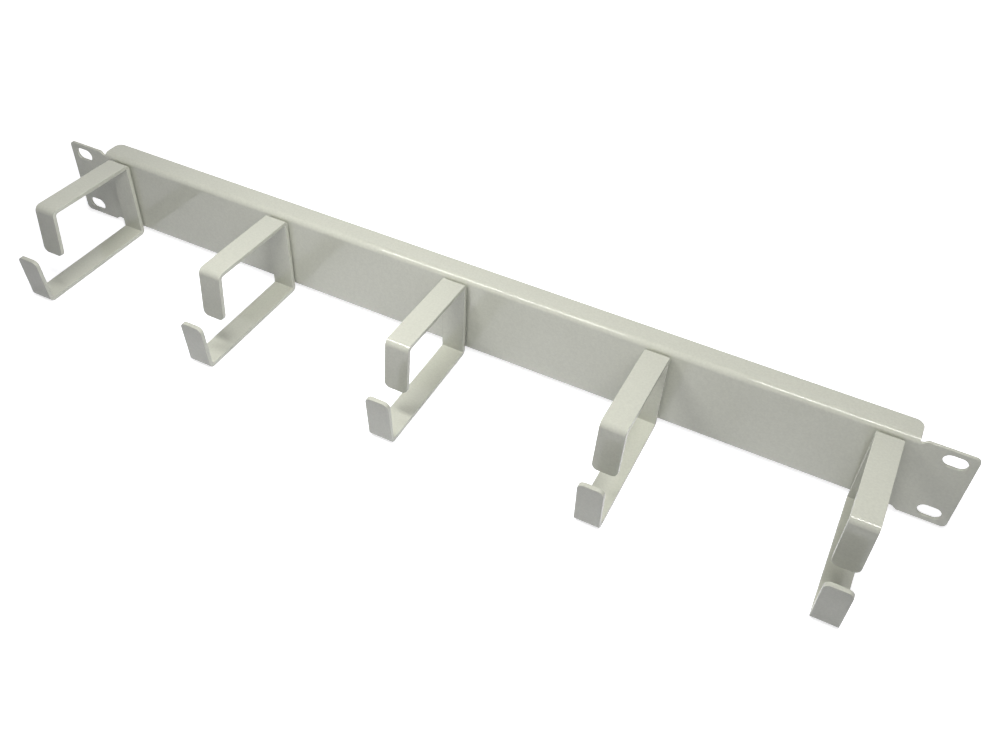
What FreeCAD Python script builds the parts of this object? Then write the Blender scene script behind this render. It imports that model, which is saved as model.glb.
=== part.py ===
# Rack cable organizer: a folded one-unit rack panel with a row of open cable rings.
# Lengths are in millimetres and angles in degrees. X runs to the right along the
# panel, Y runs back into the rack and Z points up. The origin is the centre of the
# four rack slots, on the rear face of the ears.
import FreeCAD, Part
import math
import os

# Rack interface: a one-unit panel, with two level slots in each ear. The slot
# centres are 465.1 apart across the panel.
PANEL_WIDTH = 482.6
PANEL_HEIGHT = 43.6
EAR_WIDTH = 24.3
EAR_CORNER_RADIUS = 2.5
SLOT_EDGE_DISTANCE = 8.75
SLOT_SPACING_Z = 31.75
SLOT_LENGTH = 10.2
SLOT_HEIGHT = 6.5

# Panel sheet, folded back along its top and bottom edges
SHEET = 1.5
FOLD_INNER_RADIUS = 1.5
FLANGE_DEPTH = 12.0
FLANGE_CORNER_RADIUS = 4.0

# Relief notches between the flange ends and the ears
RELIEF_FLAT = 1.2
RELIEF_WIDTH = 3.0
RELIEF_DEPTH = 1.5

# Cable rings: each is one strip, bent four times, with its leg on the panel's face.
# They are evenly spaced between the two end rings.
RING_COUNT = 5
END_RING_INSET = 11.6
STRIP = 2.2
STRIP_WIDTH = 12.0
STRIP_INNER_RADIUS = 1.2
LEG_TOP_GAP = 1.1
LEG_BOTTOM_OVERHANG = 2.0
UPPER_ARM_DEPTH = 55.5
LOWER_ARM_DEPTH = 72.0
UPPER_ARM_RISE_DEG = 1.2
LOWER_ARM_DROP_DEG = 0.4
FINGER_LENGTH = 26.5
UPPER_FINGER_LEAN_DEG = 3.3
LOWER_FINGER_LEAN_DEG = 4.2
FINGER_CORNER_RADIUS = 3.0

HALF_WIDTH = PANEL_WIDTH / 2.0
HALF_HEIGHT = PANEL_HEIGHT / 2.0
FLANGE_END = HALF_WIDTH - EAR_WIDTH


def strip_polygon(corners, thickness):
    """Outline of a strip that follows corners on its middle line, all turning one way.

    Returns the points along the inner side and along the outer side, as (y, z).
    """
    half = thickness / 2.0
    points = [FreeCAD.Vector(0, y, z) for y, z in corners]
    inner = []
    outer = []
    for before, corner, after in zip(points, points[1:], points[2:]):
        back = (before - corner).normalize()
        ahead = (after - corner).normalize()
        inward = (back + ahead).normalize()
        mitre = half / math.sin(back.getAngle(ahead) / 2.0)
        inner.append(corner + inward * mitre)
        outer.append(corner - inward * mitre)
    first_run = (points[1] - points[0]).normalize()
    last_run = (points[-1] - points[-2]).normalize()
    for end, index, run in ((points[0], 0, first_run), (points[-1], -1, last_run)):
        side = FreeCAD.Vector(0, -run.z, run.y) * half
        if side.dot(inner[index] - outer[index]) < 0:
            side = side * -1
        place = 0 if index == 0 else len(inner)
        inner.insert(place, end + side)
        outer.insert(place, end - side)
    return inner, outer


def edges_along_x(solid, points):
    """Edges of the solid that run along X through the given (y, z) points."""
    found = []
    for edge in solid.Edges:
        start = edge.Vertexes[0].Point
        end = edge.Vertexes[-1].Point
        if abs(start.x - end.x) < 1.0:
            continue
        for point in points:
            if math.hypot(start.y - point.y, start.z - point.z) < 1e-4:
                found.append(edge)
                break
    return found


def bent_strip(corners, thickness, inner_radius, x_low, x_high):
    """Solid strip with square ends, rounded at every fold inside and outside."""
    inner, outer = strip_polygon(corners, thickness)
    outline = inner + outer[::-1]
    outline.append(outline[0])
    face = Part.Face(Part.makePolygon(outline))
    solid = face.extrude(FreeCAD.Vector(x_high - x_low, 0, 0))
    solid.translate(FreeCAD.Vector(x_low, 0, 0))
    solid = solid.makeFillet(inner_radius, edges_along_x(solid, inner[1:-1]))
    return solid.makeFillet(inner_radius + thickness, edges_along_x(solid, outer[1:-1]))


def folded_channel():
    """Panel sheet between the ears: the front plate with its two flanges."""
    middle = SHEET / 2.0
    front = -middle
    rear = FLANGE_DEPTH - SHEET
    top = HALF_HEIGHT - middle
    corners = [(rear, top), (front, top), (front, -top), (rear, -top)]
    channel = bent_strip(corners, SHEET, FOLD_INNER_RADIUS, -FLANGE_END, FLANGE_END)
    rounded = []
    for edge in channel.Edges:
        ends = [vertex.Point for vertex in edge.Vertexes]
        upright = len(ends) == 2 and abs(abs(ends[0].z - ends[1].z) - SHEET) < 1e-4
        if upright and all(abs(point.y - rear) < 1e-4 for point in ends):
            rounded.append(edge)
    return channel.makeFillet(FLANGE_CORNER_RADIUS, rounded)


def ear():
    """Right ear: flat plate with two rounded corners, relief notches and two slots."""
    upper = [
        (FLANGE_END, HALF_HEIGHT - RELIEF_DEPTH),
        (FLANGE_END + RELIEF_FLAT, HALF_HEIGHT - RELIEF_DEPTH),
        (FLANGE_END + RELIEF_WIDTH, HALF_HEIGHT),
        (HALF_WIDTH, HALF_HEIGHT),
    ]
    outline = upper + [(x, -z) for x, z in reversed(upper)]
    outline.append(outline[0])
    face = Part.Face(Part.makePolygon([FreeCAD.Vector(x, -SHEET, z) for x, z in outline]))
    plate = face.extrude(FreeCAD.Vector(0, SHEET, 0))
    corners = []
    for edge in plate.Edges:
        ends = [vertex.Point for vertex in edge.Vertexes]
        through = abs(ends[0].z - ends[-1].z) < 1e-4
        away = [math.hypot(p.x - HALF_WIDTH, abs(p.z) - HALF_HEIGHT) for p in ends]
        if through and max(away) < 1e-4:
            corners.append(edge)
    plate = plate.makeFillet(EAR_CORNER_RADIUS, corners)
    for z in (SLOT_SPACING_Z / 2.0, -SLOT_SPACING_Z / 2.0):
        plate = plate.cut(slot_cutter(HALF_WIDTH - SLOT_EDGE_DISTANCE, z))
    return plate


def slot_cutter(x, z):
    """Level slot with round ends, centred on the given place."""
    radius = SLOT_HEIGHT / 2.0
    reach = SLOT_LENGTH / 2.0 - radius
    front = -2.0 * SHEET
    depth = 3.0 * SHEET
    back = FreeCAD.Vector(0, 1, 0)
    cutter = Part.makeBox(2.0 * reach, depth, SLOT_HEIGHT)
    cutter.translate(FreeCAD.Vector(x - reach, front, z - radius))
    for end in (x - reach, x + reach):
        cutter = cutter.fuse(Part.makeCylinder(radius, depth, FreeCAD.Vector(end, front, z), back))
    return cutter


def rack_panel():
    right = ear()
    left = right.mirror(FreeCAD.Vector(0, 0, 0), FreeCAD.Vector(1, 0, 0))
    return folded_channel().fuse([right, left]).removeSplitter()


def ring_corners():
    """Corners of the strip's middle line, from the upper fingertip to the lower one."""
    half = STRIP / 2.0
    rise = math.tan(math.radians(UPPER_ARM_RISE_DEG))
    drop = math.tan(math.radians(LOWER_ARM_DROP_DEG))
    upper_lean = math.radians(UPPER_FINGER_LEAN_DEG)
    lower_lean = math.radians(LOWER_FINGER_LEAN_DEG)
    finger = FINGER_LENGTH - half
    leg_y = -SHEET - half
    upper_y = -SHEET - UPPER_ARM_DEPTH + half
    lower_y = -SHEET - LOWER_ARM_DEPTH + half
    upper_z = HALF_HEIGHT - LEG_TOP_GAP - half
    lower_z = -HALF_HEIGHT - LEG_BOTTOM_OVERHANG + half
    upper_front = (upper_y, upper_z + (leg_y - upper_y) * rise)
    lower_front = (lower_y, lower_z - (leg_y - lower_y) * drop)
    upper_tip = (
        upper_front[0] - finger * math.sin(upper_lean),
        upper_front[1] - finger * math.cos(upper_lean),
    )
    lower_tip = (
        lower_front[0] - finger * math.sin(lower_lean),
        lower_front[1] + finger * math.cos(lower_lean),
    )
    return [upper_tip, upper_front, (leg_y, upper_z), (leg_y, lower_z), lower_front, lower_tip]


def cable_ring(x):
    """Ring centred on x, with rounded fingertips."""
    corners = ring_corners()
    side = STRIP_WIDTH / 2.0
    ring = bent_strip(corners, STRIP, STRIP_INNER_RADIUS, x - side, x + side)
    tips = [FreeCAD.Vector(0, y, z) for y, z in (corners[0], corners[-1])]
    rounded = []
    for edge in ring.Edges:
        ends = [vertex.Point for vertex in edge.Vertexes]
        if len(ends) != 2 or abs(ends[0].x - ends[1].x) > 1e-4:
            continue
        for tip in tips:
            away = [math.hypot(p.y - tip.y, p.z - tip.z) for p in ends]
            if max(away) < STRIP / 2.0 + 1e-4:
                rounded.append(edge)
    return ring.makeFillet(FINGER_CORNER_RADIUS, rounded)


def main():
    os.makedirs("parts", exist_ok=True)
    pieces = {"rack_panel": rack_panel()}
    first = -FLANGE_END + END_RING_INSET
    pitch = -2.0 * first / (RING_COUNT - 1)
    for index in range(RING_COUNT):
        pieces["cable_ring_%d" % (index + 1)] = cable_ring(first + index * pitch)
    for name, shape in pieces.items():
        solid = shape.Solids[0]
        if len(shape.Solids) != 1 or not solid.isValid():
            raise ValueError(name + " is not one valid solid")
        solid.exportStep("parts/" + name + ".step")


main()
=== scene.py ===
import math

import bmesh
import bpy
from mathutils import Matrix, Vector


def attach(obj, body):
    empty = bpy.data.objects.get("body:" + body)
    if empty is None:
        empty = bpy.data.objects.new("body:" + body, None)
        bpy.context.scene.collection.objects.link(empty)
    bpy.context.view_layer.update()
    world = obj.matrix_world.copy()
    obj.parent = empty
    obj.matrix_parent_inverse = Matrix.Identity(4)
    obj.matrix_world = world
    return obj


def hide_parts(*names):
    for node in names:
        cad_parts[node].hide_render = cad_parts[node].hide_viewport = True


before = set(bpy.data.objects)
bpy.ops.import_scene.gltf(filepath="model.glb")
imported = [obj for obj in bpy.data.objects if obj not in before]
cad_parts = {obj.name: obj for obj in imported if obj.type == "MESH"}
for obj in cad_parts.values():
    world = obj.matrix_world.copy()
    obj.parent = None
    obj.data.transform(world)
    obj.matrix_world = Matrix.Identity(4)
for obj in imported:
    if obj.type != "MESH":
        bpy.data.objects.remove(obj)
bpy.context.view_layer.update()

MM = 0.001
QUARTER_TURN = math.radians(90)

# Vertices that are nearer to each other than this are at the same place
SAME_PLACE = 0.001 * MM

# Panel sheet. The folds' radius is the outside one.
HALF_WIDTH = 241.3 * MM
HALF_HEIGHT = 21.8 * MM
EAR_WIDTH = 24.3 * MM
EAR_CORNER_RADIUS = 2.5 * MM
SLOT_EDGE_DISTANCE = 8.75 * MM
SLOT_SPACING_Z = 31.75 * MM
SLOT_LENGTH = 10.2 * MM
SLOT_HEIGHT = 6.5 * MM
SHEET = 1.5 * MM
FOLD_RADIUS = 3.0 * MM
FLANGE_DEPTH = 12.0 * MM
FLANGE_CORNER_RADIUS = 4.0 * MM
RELIEF_FLAT = 1.2 * MM
RELIEF_WIDTH = 3.0 * MM
RELIEF_DEPTH = 1.5 * MM
FLANGE_END = HALF_WIDTH - EAR_WIDTH

# Cable rings, each one strip bent four times. The folds' radii are those of the
# strip's middle line.
RING_COUNT = 5
RING_PITCH = 102.7 * MM
STRIP = 2.2 * MM
STRIP_WIDTH = 12.0 * MM
FRONT_FOLD_RADIUS = 2.1 * MM
BACK_FOLD_RADIUS = 1.5 * MM
UPPER_ARM_DEPTH = 55.5 * MM
LOWER_ARM_DEPTH = 72.0 * MM
LEG_TOP = 20.7 * MM
LEG_BOTTOM = -23.8 * MM
LEG_GAP = 0.95 * MM
WELD_RADIUS = 2.5 * MM
WELD_HEIGHT = 9.0 * MM
UPPER_ARM_RISE = math.radians(1.2)
LOWER_ARM_DROP = math.radians(0.4)
FINGER_LENGTH = 26.5 * MM
UPPER_FINGER_LEAN = math.radians(5.0)
LOWER_FINGER_LEAN = math.radians(4.2)
FINGER_CORNER_RADIUS = 3.0 * MM

# Coated edges, and the segments that make up each curve
EDGE_RADIUS = 0.3 * MM
EDGE_SEGMENTS = 3
EDGE_ANGLE = math.radians(50)
FOLD_SEGMENTS = 12
CORNER_SEGMENTS = 8
SLOT_SEGMENTS = 40
WELD_SEGMENTS = 24

# Camera of the photograph: where it is, how it is turned in degrees, and its lens and
# sensor in millimetres
CAMERA_PLACE = (0.174774, -0.332290, 0.313932)
CAMERA_TURN = (46.4118, -2.5458, 26.6845)
CAMERA_LENS = 35.704
CAMERA_SENSOR = 36

# Coat. Each size is that of the lumps in a pattern. The rings' patterns start at another
# place than the panel's, so that the pieces are not alike where they meet.
COAT_COLOR = (0.61, 0.62, 0.548)
DRIFT_SIZE = 60 * MM
DRIFT = 0.02
SPECKLE_SIZE = 1.0 * MM
SPECKLE = 0.035
GLOSS_SIZE = 5 * MM
GLOSS_RANGE = (0.08, 0.12)
COAT_IOR = 1.6
PEEL_SIZE = 1.6 * MM
PEEL_HEIGHT = 0.04 * MM
PEEL_STRENGTH = 0.25
PANEL_PATTERN_START = (0, 0, 0)
RING_PATTERN_START = (0.31, 0.17, 0.53)

# Noise, and the range that most of its values lie in
NOISE_ROUGHNESS = 0.55
NOISE_LOW = 0.3
NOISE_HIGH = 0.7

# Studio: each lamp's place, the place it is aimed at, its size and its power in watts.
# The strip lamps are only mirrored in the coat, and the soft lamps light it.
STRIP_LAMPS = {
    "strip_left": ((-0.06, -0.11, 0.23), (-0.06, -0.02, 0), (0.2, 0.02), 0.34),
    "strip_right": ((0.195, -0.12, 0.23), (0.195, -0.02, 0), (0.13, 0.02), 0.22),
}
SOFT_LAMPS = {
    "front_left": ((-0.04, -0.11, 0.23), (-0.04, -0.02, 0), (0.1, 0.04), 0.36),
    "front_right": ((0.195, -0.12, 0.23), (0.195, -0.02, 0), (0.13, 0.05), 0.2),
    "over_left": ((-0.15, -0.02, 0.3), (-0.15, -0.02, 0), (0.08, 0.05), 0.28),
    "over_right": ((0.2, -0.03, 0.32), (0.2, -0.02, 0), (0.12, 0.06), 0.3),
    "front": ((0, -0.7, 0.2), (0, -0.02, 0), (1.0, 0.3), 0.25),
    "behind": ((0, 0.5, 0.03), (0, 0, 0), (0.9, 0.08), 0.8),
}
LAMP_COLOR = (1.0, 0.995, 0.955)
WORLD_FILL = 0.04

# Floor. Its glow is FLOOR_GLOW as far as GLOW_NEAR from the middle, or MIRROR_GLOW where it
# is mirrored, and rises to 1 at GLOW_FAR.
FLOOR_Z = -24.3 * MM
FLOOR_HALF = 3.0
FLOOR_COLOR = (0.8, 0.8, 0.87)
FLOOR_GLOW = 0.75
MIRROR_GLOW = 0.45
GLOW_NEAR = 0.2
GLOW_FAR = 0.45


def vertices_of(made):
    return [part for part in made if isinstance(part, bmesh.types.BMVert)]


def round_edges(bm, edges, radius, segments):
    bmesh.ops.bevel(
        bm, geom=edges, offset=radius, offset_type="OFFSET", segments=segments,
        profile=0.5, affect="EDGES", material=-1, clamp_overlap=False,
    )


def round_corners(bm, corners, radius, segments):
    bmesh.ops.bevel(
        bm, geom=corners, offset=radius, offset_type="OFFSET", segments=segments,
        profile=0.5, affect="VERTICES", material=-1, clamp_overlap=False,
    )


def vertices_at(bm, places):
    """Vertices of the mesh that lie on the given places."""
    return [v for v in bm.verts if any((v.co - Vector(p)).length < SAME_PLACE for p in places)]


def coated_sheet(bm, name, thickness, offset, material):
    """Object from a bare sheet: gives it its thickness and its rounded coated edges."""
    mesh = bpy.data.meshes.new(name)
    bm.to_mesh(mesh)
    bm.free()
    mesh.shade_smooth()
    piece = bpy.data.objects.new(name, mesh)
    bpy.context.scene.collection.objects.link(piece)
    mesh.materials.append(material)
    solid = piece.modifiers.new("thickness", "SOLIDIFY")
    solid.thickness = thickness
    solid.offset = offset
    solid.use_even_offset = True
    edge = piece.modifiers.new("coated edges", "BEVEL")
    edge.width = EDGE_RADIUS
    edge.segments = EDGE_SEGMENTS
    edge.limit_method = "ANGLE"
    edge.angle_limit = EDGE_ANGLE
    edge.use_clamp_overlap = False
    piece.modifiers.new("flat faces", "WEIGHTED_NORMAL").keep_sharp = True
    return piece


def channel_quarter():
    """Half of the folded profile, drawn from the panel's middle to the flange's end."""
    fold_z = HALF_HEIGHT - FOLD_RADIUS
    bm = bmesh.new()
    middle = bm.verts.new((0, -SHEET, 0))
    fold_start = bm.verts.new((0, -SHEET, fold_z))
    bm.edges.new((middle, fold_start))
    fold = bmesh.ops.spin(
        bm, geom=[fold_start], cent=(0, FOLD_RADIUS - SHEET, fold_z), axis=(-1, 0, 0),
        angle=QUARTER_TURN, steps=FOLD_SEGMENTS, use_duplicate=False,
    )["geom_last"]
    rim = bmesh.ops.extrude_vert_indiv(bm, verts=vertices_of(fold))["verts"]
    bmesh.ops.translate(bm, verts=rim, vec=(0, FLANGE_DEPTH - FOLD_RADIUS, 0))
    draw_along_x(bm, bm.edges[:], FLANGE_END)
    corner = vertices_at(bm, [(FLANGE_END, FLANGE_DEPTH - SHEET, HALF_HEIGHT)])
    round_corners(bm, corner, FLANGE_CORNER_RADIUS, CORNER_SEGMENTS)
    return bm


def draw_along_x(bm, edges, length):
    """Extrudes edges along X and returns the new vertices."""
    drawn = vertices_of(bmesh.ops.extrude_edge_only(bm, edges=edges)["geom"])
    bmesh.ops.translate(bm, verts=drawn, vec=(length, 0, 0))
    return drawn


def open_edges(bm, verts):
    """Edges between the given vertices that have a face on one side at most."""
    chosen = set(verts)
    return [e for e in bm.edges if chosen.issuperset(e.verts) and len(e.link_faces) < 2]


def relief_notch(bm):
    """Flattens the start of the fold into the ear and steps up to the ear's full height."""
    notch_z = HALF_HEIGHT - RELIEF_DEPTH
    root = [
        v for v in bm.verts
        if abs(v.co.x - FLANGE_END) < SAME_PLACE
        and v.co.y < 0
        and v.co.z < notch_z + SAME_PLACE
    ]
    flat = draw_along_x(bm, open_edges(bm, root), RELIEF_FLAT)
    for v in flat:
        v.co.y = -SHEET
    step = draw_along_x(bm, open_edges(bm, flat), RELIEF_WIDTH - RELIEF_FLAT)
    max(step, key=lambda v: v.co.z).co.z = HALF_HEIGHT
    return step


def ear(bm, root):
    """Fills the ear's upper half from its root column out to its edge, round its slot."""
    top = max(root, key=lambda v: v.co.z)
    foot = min(root, key=lambda v: v.co.z)
    outer_top = bm.verts.new((HALF_WIDTH, -SHEET, HALF_HEIGHT))
    outer_foot = bm.verts.new((HALF_WIDTH, -SHEET, 0))
    for pair in ((top, outer_top), (outer_top, outer_foot), (outer_foot, foot)):
        bm.edges.new(pair)
    round_corners(bm, [outer_top], EAR_CORNER_RADIUS, CORNER_SEGMENTS)
    slot_x = HALF_WIDTH - SLOT_EDGE_DISTANCE
    place = Matrix.Translation((slot_x, -SHEET, SLOT_SPACING_Z / 2))
    turn = Matrix.Rotation(QUARTER_TURN, 4, "X")
    half_step = Matrix.Rotation(math.pi / SLOT_SEGMENTS, 4, "Z")
    slot = bmesh.ops.create_circle(
        bm, radius=SLOT_HEIGHT / 2, segments=SLOT_SEGMENTS, matrix=place @ turn @ half_step,
    )["verts"]
    for v in slot:
        v.co.x += math.copysign((SLOT_LENGTH - SLOT_HEIGHT) / 2, v.co.x - slot_x)
    rim = [e for e in bm.edges if not e.link_faces]
    rim += open_edges(bm, root)
    bmesh.ops.triangle_fill(bm, edges=rim, use_beauty=True, use_dissolve=False)


def rack_panel(material):
    """Front plate with slotted ears and two flanges, mirrored from one quarter."""
    bm = channel_quarter()
    ear(bm, relief_notch(bm))
    for axis in ("X", "Z"):
        everything = bm.verts[:] + bm.edges[:] + bm.faces[:]
        bmesh.ops.mirror(bm, geom=everything, axis=axis, merge_dist=SAME_PLACE)
    bmesh.ops.remove_doubles(bm, verts=bm.verts, dist=SAME_PLACE)
    bmesh.ops.recalc_face_normals(bm, faces=bm.faces)
    front = min(bm.faces, key=lambda f: f.calc_center_median().y)
    if front.normal.y > 0:
        bmesh.ops.reverse_faces(bm, faces=bm.faces)
    return coated_sheet(bm, "coated_panel", SHEET, -1, material)


def ring_corners():
    """Corners of a ring's middle line as (y, z), from the upper fingertip to the lower."""
    half = STRIP / 2
    finger = FINGER_LENGTH - half
    leg_y = -SHEET - LEG_GAP - half
    upper_y = -SHEET - UPPER_ARM_DEPTH + half
    lower_y = -SHEET - LOWER_ARM_DEPTH + half
    upper_z = LEG_TOP - half
    lower_z = LEG_BOTTOM + half
    front_z = upper_z + (leg_y - upper_y) * math.tan(UPPER_ARM_RISE)
    low_front_z = lower_z - (leg_y - lower_y) * math.tan(LOWER_ARM_DROP)
    upper_tip = (
        upper_y - finger * math.sin(UPPER_FINGER_LEAN),
        front_z - finger * math.cos(UPPER_FINGER_LEAN),
    )
    lower_tip = (
        lower_y - finger * math.sin(LOWER_FINGER_LEAN),
        low_front_z + finger * math.cos(LOWER_FINGER_LEAN),
    )
    return [
        upper_tip, (upper_y, front_z), (leg_y, upper_z),
        (leg_y, lower_z), (lower_y, low_front_z), lower_tip,
    ]


def weld_spot(bm, x, z):
    """Short round pad that carries a leg, from the plate's face into the leg's back."""
    place = Matrix.Translation((x, -SHEET - STRIP / 2, z))
    turn = Matrix.Rotation(QUARTER_TURN, 4, "X")
    bmesh.ops.create_circle(
        bm, cap_ends=True, radius=WELD_RADIUS, segments=WELD_SEGMENTS, matrix=place @ turn,
    )


def cable_ring(index, material):
    """One ring: a line of corners drawn across into a strip, then folded round."""
    x = (index - (RING_COUNT + 1) / 2) * RING_PITCH
    bm = bmesh.new()
    line = [bm.verts.new((x - STRIP_WIDTH / 2, y, z)) for y, z in ring_corners()]
    runs = [bm.edges.new(pair) for pair in zip(line, line[1:])]
    strip = bmesh.ops.extrude_edge_only(bm, edges=runs)["geom"]
    bmesh.ops.translate(bm, verts=vertices_of(strip), vec=(STRIP_WIDTH, 0, 0))
    tips = [v for v in bm.verts if len(v.link_edges) == 2]
    round_corners(bm, tips, FINGER_CORNER_RADIUS, CORNER_SEGMENTS)
    for radius, at_back in ((FRONT_FOLD_RADIUS, False), (BACK_FOLD_RADIUS, True)):
        folds = [
            e for e in bm.edges
            if e.calc_face_angle(0) > EDGE_ANGLE
            and (e.verts[0].co.y > -UPPER_ARM_DEPTH / 2) == at_back
        ]
        round_edges(bm, folds, radius, FOLD_SEGMENTS)
    bmesh.ops.recalc_face_normals(bm, faces=bm.faces)
    for z in (WELD_HEIGHT, -WELD_HEIGHT):
        weld_spot(bm, x, z)
    return coated_sheet(bm, "coated_ring_%d" % index, STRIP, 0, material)


def add_node(tree, kind, **settings):
    """New shader node with its own settings and the values of its sockets."""
    node = tree.nodes.new(kind)
    for key, value in settings.items():
        if hasattr(node, key):
            setattr(node, key, value)
        else:
            node.inputs[key.replace("_", " ").title()].default_value = value
    return node


def grain(tree, place, size, detail):
    """Noise whose lumps are about the given size, on the piece's own coordinates."""
    noise = add_node(tree, "ShaderNodeTexNoise", detail=detail, roughness=NOISE_ROUGHNESS)
    noise.inputs["Scale"].default_value = 1 / size
    tree.links.new(place.outputs["Vector"], noise.inputs["Vector"])
    return noise.outputs["Fac"]


def spread(tree, value, low, high):
    """Maps the range that most of a noise lies in onto low to high."""
    scale = add_node(tree, "ShaderNodeMapRange", from_min=NOISE_LOW, from_max=NOISE_HIGH)
    scale.inputs["To Min"].default_value = low
    scale.inputs["To Max"].default_value = high
    tree.links.new(value, scale.inputs["Value"])
    return scale.outputs["Result"]


def product(tree, first, second):
    times = add_node(tree, "ShaderNodeMath", operation="MULTIPLY")
    tree.links.new(first, times.inputs[0])
    tree.links.new(second, times.inputs[1])
    return times.outputs[0]


def powder_coat(name, color, start):
    """Semi-gloss powder coat: orange peel, a fine speckle and slow drifts in tone."""
    material = bpy.data.materials.new(name)
    material.use_nodes = True
    tree = material.node_tree
    shader = tree.nodes["Principled BSDF"]
    surface = add_node(tree, "ShaderNodeTexCoord")
    place = add_node(tree, "ShaderNodeMapping")
    place.inputs["Location"].default_value = start
    tree.links.new(surface.outputs["Object"], place.inputs["Vector"])

    drift = spread(tree, grain(tree, place, DRIFT_SIZE, detail=2), 1 - DRIFT, 1 + DRIFT)
    speckle = spread(tree, grain(tree, place, SPECKLE_SIZE, detail=1), 1 - SPECKLE, 1 + SPECKLE)
    tone = add_node(tree, "ShaderNodeVectorMath", operation="SCALE")
    tone.inputs[0].default_value = color
    tree.links.new(product(tree, drift, speckle), tone.inputs["Scale"])
    tree.links.new(tone.outputs["Vector"], shader.inputs["Base Color"])

    gloss = spread(tree, grain(tree, place, GLOSS_SIZE, detail=3), *GLOSS_RANGE)
    tree.links.new(gloss, shader.inputs["Roughness"])
    shader.inputs["IOR"].default_value = COAT_IOR

    peel = add_node(tree, "ShaderNodeBump")
    peel.inputs["Strength"].default_value = PEEL_STRENGTH
    peel.inputs["Distance"].default_value = PEEL_HEIGHT
    tree.links.new(grain(tree, place, PEEL_SIZE, detail=2), peel.inputs["Height"])
    tree.links.new(peel.outputs["Normal"], shader.inputs["Normal"])
    return material


def area_light(name, place, target, size, power):
    light = bpy.data.lights.new(name, "AREA")
    light.shape = "RECTANGLE"
    light.size, light.size_y = size
    light.energy = power
    light.color = LAMP_COLOR
    lamp = bpy.data.objects.new(name, light)
    lamp.location = place
    aim = Vector(target) - Vector(place)
    lamp.rotation_euler = aim.to_track_quat("-Z", "Y").to_euler()
    lamp.visible_camera = False
    bpy.context.scene.collection.objects.link(lamp)
    return lamp


def seen_or_mirrored(tree):
    """1 for rays that the camera, a reflection or a clear piece sends out, 0 for others."""
    path = add_node(tree, "ShaderNodeLightPath")
    total = path.outputs["Is Camera Ray"]
    for ray in ("Is Glossy Ray", "Is Transmission Ray"):
        either = add_node(tree, "ShaderNodeMath", operation="MAXIMUM")
        tree.links.new(total, either.inputs[0])
        tree.links.new(path.outputs[ray], either.inputs[1])
        total = either.outputs[0]
    return total


def studio_world():
    """White where it is seen, and a dim even fill where it lights the object."""
    world = bpy.data.worlds.new("studio")
    bpy.context.scene.world = world
    world.use_nodes = True
    tree = world.node_tree
    background = tree.nodes["Background"]
    background.inputs["Color"].default_value = (1, 1, 1, 1)
    level = add_node(tree, "ShaderNodeMapRange")
    level.inputs["To Min"].default_value = WORLD_FILL
    level.inputs["To Max"].default_value = 1
    tree.links.new(seen_or_mirrored(tree), level.inputs["Value"])
    tree.links.new(level.outputs["Result"], background.inputs["Strength"])


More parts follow.
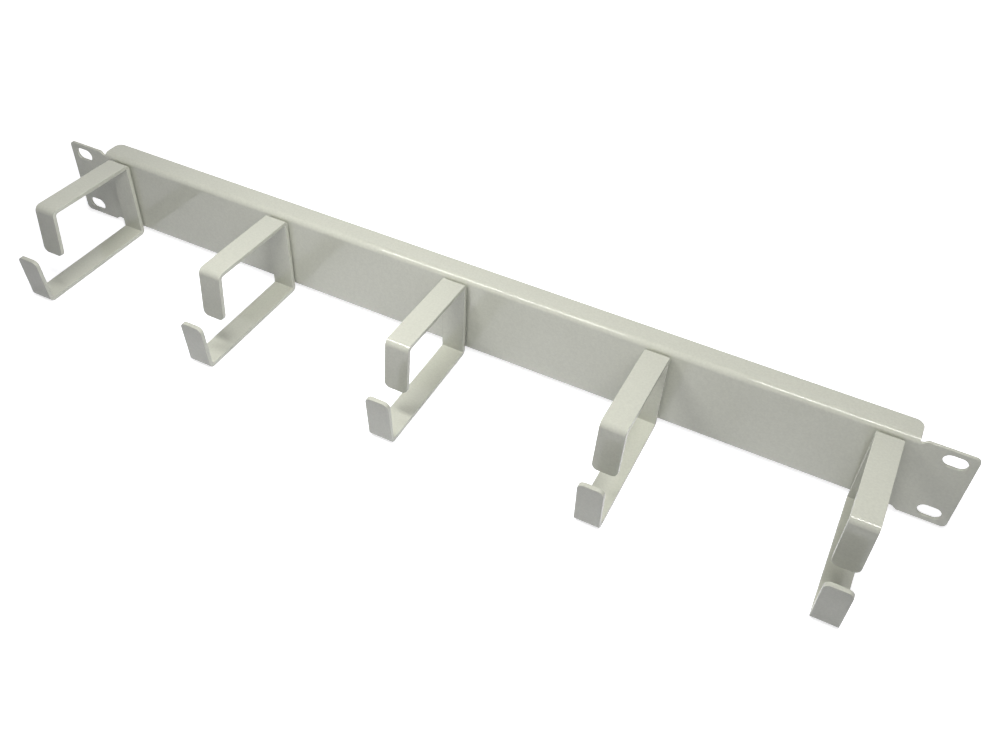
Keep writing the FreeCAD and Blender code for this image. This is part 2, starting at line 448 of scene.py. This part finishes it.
def white_floor():
    """White paper. Where it is seen, a glow lifts it to a clear white.

    The glow is weaker near the object, so that the shadow stays, and weaker still for
    reflections there, which show the paper as the lamps light it.
    """
    material = bpy.data.materials.new("floor_white")
    material.use_nodes = True
    material.cycles.emission_sampling = "NONE"
    tree = material.node_tree
    shader = tree.nodes["Principled BSDF"]
    shader.inputs["Base Color"].default_value = (*FLOOR_COLOR, 1)
    shader.inputs["Roughness"].default_value = 1
    shader.inputs["Specular IOR Level"].default_value = 0
    shader.inputs["Emission Color"].default_value = (1, 1, 1, 1)
    surface = add_node(tree, "ShaderNodeTexCoord")
    away = add_node(tree, "ShaderNodeVectorMath", operation="LENGTH")
    tree.links.new(surface.outputs["Object"], away.inputs[0])
    glow = add_node(tree, "ShaderNodeMapRange", interpolation_type="SMOOTHSTEP")
    glow.inputs["From Min"].default_value = GLOW_NEAR
    glow.inputs["From Max"].default_value = GLOW_FAR
    near = add_node(tree, "ShaderNodeMapRange")
    near.inputs["To Min"].default_value = MIRROR_GLOW
    near.inputs["To Max"].default_value = FLOOR_GLOW
    path = add_node(tree, "ShaderNodeLightPath")
    tree.links.new(path.outputs["Is Camera Ray"], near.inputs["Value"])
    tree.links.new(near.outputs["Result"], glow.inputs["To Min"])
    glow.inputs["To Max"].default_value = 1
    tree.links.new(away.outputs["Value"], glow.inputs["Value"])
    seen = product(tree, glow.outputs["Result"], seen_or_mirrored(tree))
    tree.links.new(seen, shader.inputs["Emission Strength"])
    return material


def studio_floor():
    bm = bmesh.new()
    bmesh.ops.create_grid(bm, x_segments=1, y_segments=1, size=FLOOR_HALF)
    bmesh.ops.translate(bm, verts=bm.verts, vec=(0, 0, FLOOR_Z))
    mesh = bpy.data.meshes.new("studio_floor")
    bm.to_mesh(mesh)
    bm.free()
    mesh.materials.append(white_floor())
    floor = bpy.data.objects.new("studio_floor", mesh)
    bpy.context.scene.collection.objects.link(floor)


def photo_camera():
    camera = bpy.data.cameras.new("photo_camera")
    camera.lens = CAMERA_LENS
    camera.sensor_width = CAMERA_SENSOR
    holder = bpy.data.objects.new("photo_camera", camera)
    holder.location = CAMERA_PLACE
    holder.rotation_euler = [math.radians(a) for a in CAMERA_TURN]
    bpy.context.scene.collection.objects.link(holder)
    bpy.context.scene.camera = holder


panel_coat = powder_coat("panel_coat", COAT_COLOR, PANEL_PATTERN_START)
ring_coat = powder_coat("ring_coat", COAT_COLOR, RING_PATTERN_START)

panel = rack_panel(panel_coat)
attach(panel, "root")
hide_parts("rack_panel")

for number in range(1, RING_COUNT + 1):
    ring = cable_ring(number, ring_coat)
    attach(ring, "root")
    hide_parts("cable_ring_%d" % number)

for lamp_name, lamp in STRIP_LAMPS.items():
    area_light(lamp_name, *lamp).visible_diffuse = False
for lamp_name, lamp in SOFT_LAMPS.items():
    area_light(lamp_name, *lamp).visible_glossy = False
studio_world()
studio_floor()
photo_camera()
bpy.context.scene.view_settings.view_transform = "Standard"
